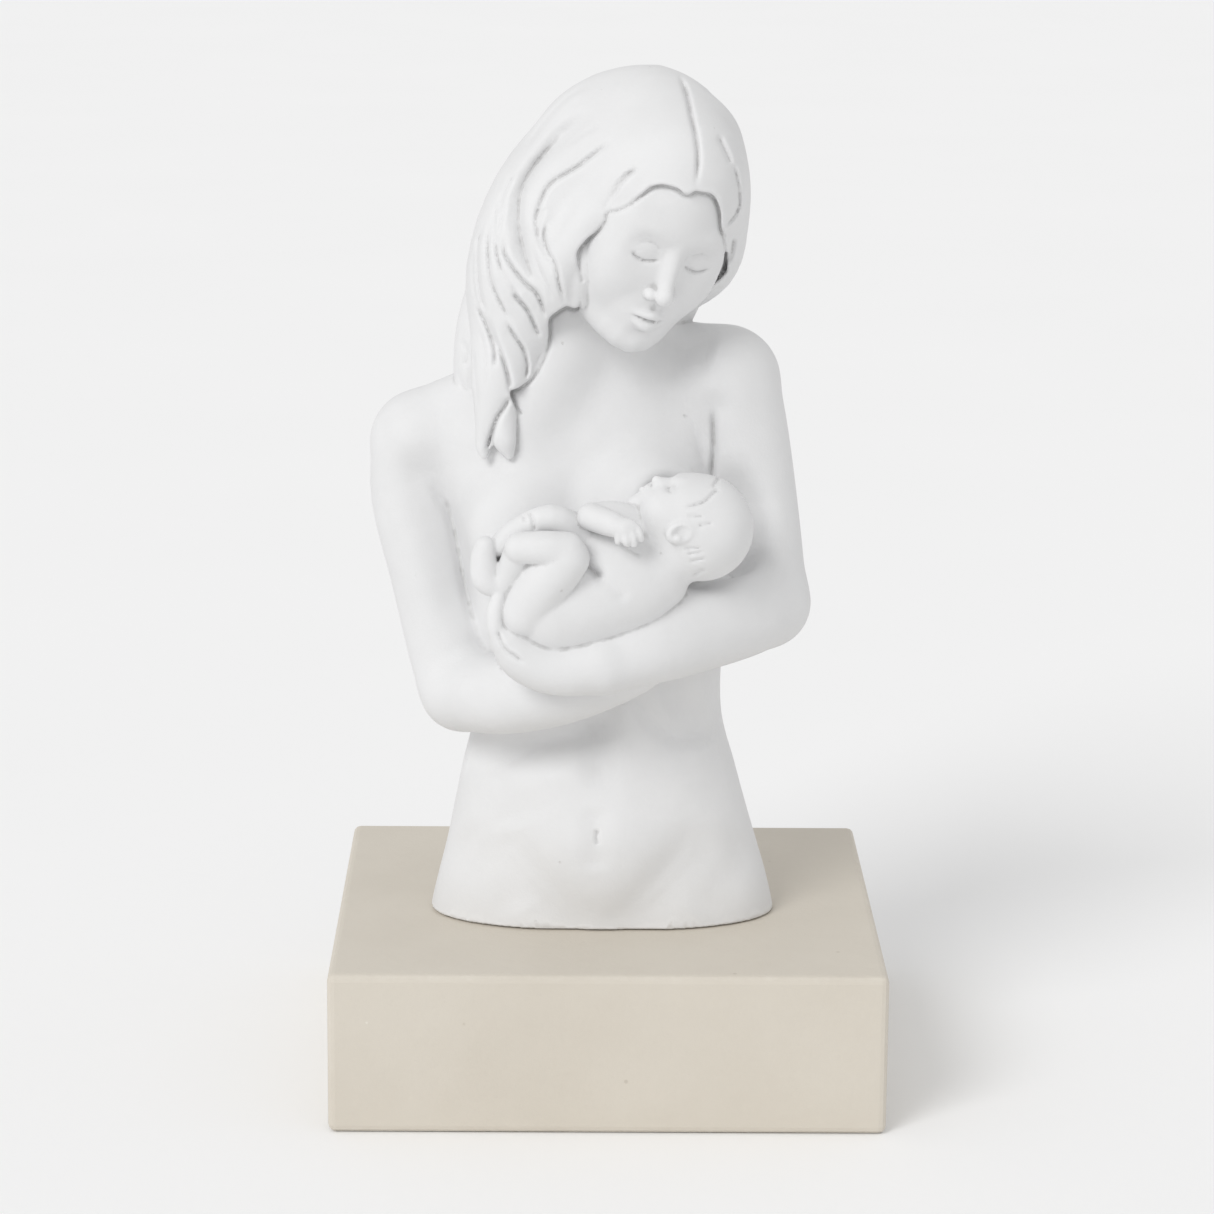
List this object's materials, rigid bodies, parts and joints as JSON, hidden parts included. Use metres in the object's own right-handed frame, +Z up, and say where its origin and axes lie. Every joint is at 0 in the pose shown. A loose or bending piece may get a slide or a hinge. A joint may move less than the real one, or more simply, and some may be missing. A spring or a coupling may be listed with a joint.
{
  "type": "mother and child sculpture",
  "caption": "White cast half figure of a long-haired woman cradling a sleeping baby in her crossed arms, on a low rectangular plinth; a tabletop ornament.",
  "frame": {"origin": "centre of the plinth's underside", "axes": "+Z up, +X to the right of someone facing the figure, -Y the way the figure faces"},
  "size_m": [0.12, 0.113, 0.2235],
  "materials": {
    "cast_white": "matte white casting, like biscuit porcelain or plaster, with no gloss",
    "paint_beige": "matte pale beige paint on a smooth block with eased edges"
  },
  "bodies": {
    "root": {"mother_and_child": "cast_white", "plinth": "paint_beige"}
  },
  "joints": []
}
